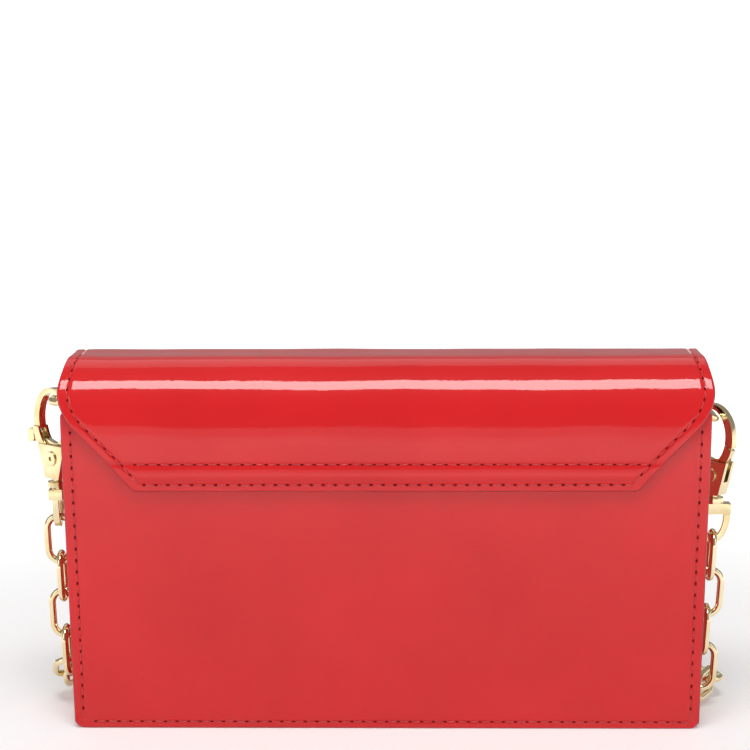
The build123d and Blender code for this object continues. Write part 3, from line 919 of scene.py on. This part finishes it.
def make_lining():
    """The cloth bag inside: soft upright walls, a rolled rim and a slack floor."""
    low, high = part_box("lining")
    hx, hy, floor = high[0] / MM - 0.2, high[1] / MM - 0.1, low[2] / MM + 0.2

    def ring(inset, t):
        """One turn of cloth, a share t of the way up, drawn in most at half height."""
        points = loop(hx - inset, hy - inset, 3.0)
        x, y = points[:, 0], points[:, 1]
        rim = np.where(y > hy - 3, REAR_RIM, FRONT_RIM)
        slack = 0.5 + 0.5 * wave(x + 2 * y, np.full_like(x, t * 90), 55.0, 5.0)
        pull = slack * math.sin(math.pi * min(1, t)) ** 0.7
        return np.stack([x * (1 - pull / hx * 0.4), y * (1 - pull / hy), floor + (rim - floor) * t], 1)

    heights = np.linspace(0, 1, 30)
    outside = [ring(0.0, t) for t in heights]
    inside = [ring(CLOTH, max(t, 0.008)) for t in heights[::-1]]
    rings = outside + [ring(CLOTH / 2, 1.004)] + inside
    count = len(rings[0])
    verts = np.concatenate(rings) * MM
    faces = []
    for i in range(len(rings) - 1):
        for j in range(count):
            n = (j + 1) % count
            faces.append((i * count + j, i * count + n, (i + 1) * count + n, (i + 1) * count + j))
    faces.append(tuple(range(count))[::-1])
    last = (len(rings) - 1) * count
    faces.append(tuple(last + j for j in range(count)))
    cloth = build("lining_cloth", verts, faces, [TWILL])
    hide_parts("lining")
    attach(cloth, "bag")


def make_pocket():
    """A slack slip pocket on the back wall, its mouth standing a little open."""
    low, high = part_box("slip_pocket")
    half, bottom, top = high[0] / MM, low[2] / MM, high[2] / MM
    wall = high[1] / MM

    def surface(a, b):
        side = np.clip((half - np.abs(a)) / 14, 0, 1)
        rise = np.clip((b - bottom) / 12, 0, 1)
        puff = 0.7 + 1.3 * np.sin(side * math.pi / 2) * np.sin(rise * math.pi / 2)
        point = np.stack([a, wall - puff - CLOTH, b], -1)
        normal = np.zeros(point.shape)
        normal[..., 1] = -1
        return point, normal

    def relief(a, b, d):
        return groove(d - 1.8, 0.5, 0.2) + 0.15 * wave(a, b, 30.0, 2.0) * np.clip(d / 4, 0, 1)

    outline = rounded([(half, bottom), (half, top), (-half, top), (-half, bottom)], [3.0, 0.6, 0.6, 3.0])
    skin = Skin(outline, surface, FLAP_LINING, relief)
    pocket = skin.mesh("slip_pocket_cloth", steps=(3.0, 2.0), materials=[TWILL, TWILL])
    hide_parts("slip_pocket")
    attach(pocket, "bag")


make_lining()
make_pocket()


# ---------------------------------------------------------------- ring tabs
TAB_LEATHER = 1.0
TAB_BORE = 1.3
TAB_GAP = 0.15


def make_tab(side, sign):
    """A folded leather strap, up the gusset, round the D-ring's bar and back down."""
    low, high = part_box(f"{side}_ring_tab")
    bar = max(abs(low[0]), abs(high[0])) / MM - TAB_BORE - TAB_LEATHER
    half = high[1] / MM
    bottom, centre = low[2] / MM, high[2] / MM - TAB_BORE - TAB_LEATHER
    face = bar - TAB_BORE
    front = face + TAB_GAP
    cut = TAB_BORE * math.tan(math.pi / 8)
    up = [(face, bottom), (face, bottom + 6), (face, centre - 4), (face, centre + cut)]
    over = [
        (bar - cut, centre + TAB_BORE), (bar + cut, centre + TAB_BORE),
        (bar + TAB_BORE, centre + cut), (bar + TAB_BORE, centre - cut), (bar + 0.7, centre - 2.2),
    ]
    down = [(front, centre - 3.6), (front, centre - 8), (front, bottom + 0.8)]

    def place(p, q, c):
        return np.stack([sign * p, c, q], -1)

    skin = channel_skin(up + over + down, (-half, half), place, TAB_LEATHER)
    strap = skin.mesh(f"{side}_tab_leather", steps=(2.0, 0.7))
    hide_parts(f"{side}_ring_tab")
    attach(strap, "bag")


for side_name, side_sign in SIDES:
    make_tab(side_name, side_sign)


# ---------------------------------------------------------------- metal
BODIES = frame["record"]["behaviour"]["bodies"]
BODY_OF = {node: body for body, members in BODIES.items() for node in members}
FINISHES = {"board": BOARD, "magnet": MAGNET, "spring": SPRING}
WIRE_CREASE = 60.0


def polished(node, name, material, width, crease=32.0):
    """A copy of a metal node with edges softened by a width in mm, and smooth shading."""
    mesh = NODES[node].data.copy()
    mesh.materials.clear()
    mesh.materials.append(material)
    work = bmesh.new()
    work.from_mesh(mesh)
    bmesh.ops.remove_doubles(work, verts=work.verts, dist=DOUBLES)
    bmesh.ops.dissolve_degenerate(work, edges=work.edges, dist=DEGENERATE)
    if width:
        bmesh.ops.dissolve_limit(work, angle_limit=math.radians(1.0), verts=work.verts, edges=work.edges)
    bmesh.ops.recalc_face_normals(work, faces=work.faces)
    for face in work.faces:
        face.smooth = True
        face.material_index = 0
    work.to_mesh(mesh)
    work.free()
    made = bpy.data.objects.new(name, mesh)
    bpy.context.collection.objects.link(made)
    if width:
        bevel = made.modifiers.new("soft_edges", "BEVEL")
        bevel.width = width * MM
        bevel.segments = 3
        bevel.limit_method = "ANGLE"
        bevel.angle_limit = math.radians(crease)
        bevel.miter_outer = "MITER_ARC"
        bpy.context.view_layer.update()
        bevelled = made.evaluated_get(bpy.context.evaluated_depsgraph_get())
        shaped = bpy.data.meshes.new_from_object(bevelled)
        made.modifiers.clear()
        made.data = shaped
    work = bmesh.new()
    work.from_mesh(made.data)
    bmesh.ops.triangulate(work, faces=[f for f in work.faces if len(f.verts) > 4])
    for edge in work.edges:
        edge.smooth = len(edge.link_faces) != 2 or edge.calc_face_angle(0) < math.radians(crease)
    for face in work.faces:
        face.smooth = True
    work.to_mesh(made.data)
    work.free()
    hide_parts(node)
    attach(made, BODY_OF.get(node, "bag"))


for side_name in ("right", "left"):
    polished(f"{side_name}_clasp_body", f"{side_name}_clasp_casting", GOLD, 0.32)
    polished(f"{side_name}_clasp_trigger", f"{side_name}_trigger_lever", GOLD, 0.2)
    polished(f"{side_name}_swivel_eye", f"{side_name}_eye_casting", GOLD, 0.28)
    polished(f"{side_name}_pivot_rivet", f"{side_name}_pivot_pin", GOLD, 0.12)
    polished(f"{side_name}_tab_rivet", f"{side_name}_tab_stud", GOLD, 0.2)
    polished(f"{side_name}_d_ring", f"{side_name}_wire_ring", GOLD, 0.0, WIRE_CREASE)
    polished(f"{side_name}_hanging_chain", f"{side_name}_chain_end", CHAIN_GOLD, 0.0, WIRE_CREASE)
polished("lying_chain", "chain_on_table", CHAIN_GOLD, 0.0, WIRE_CREASE)

for node, item in NODES.items():
    kind = node.rsplit("_", 1)[-1]
    if kind in FINISHES:
        item.data.materials.clear()
        item.data.materials.append(FINISHES[kind])

bpy.context.view_layer.update()
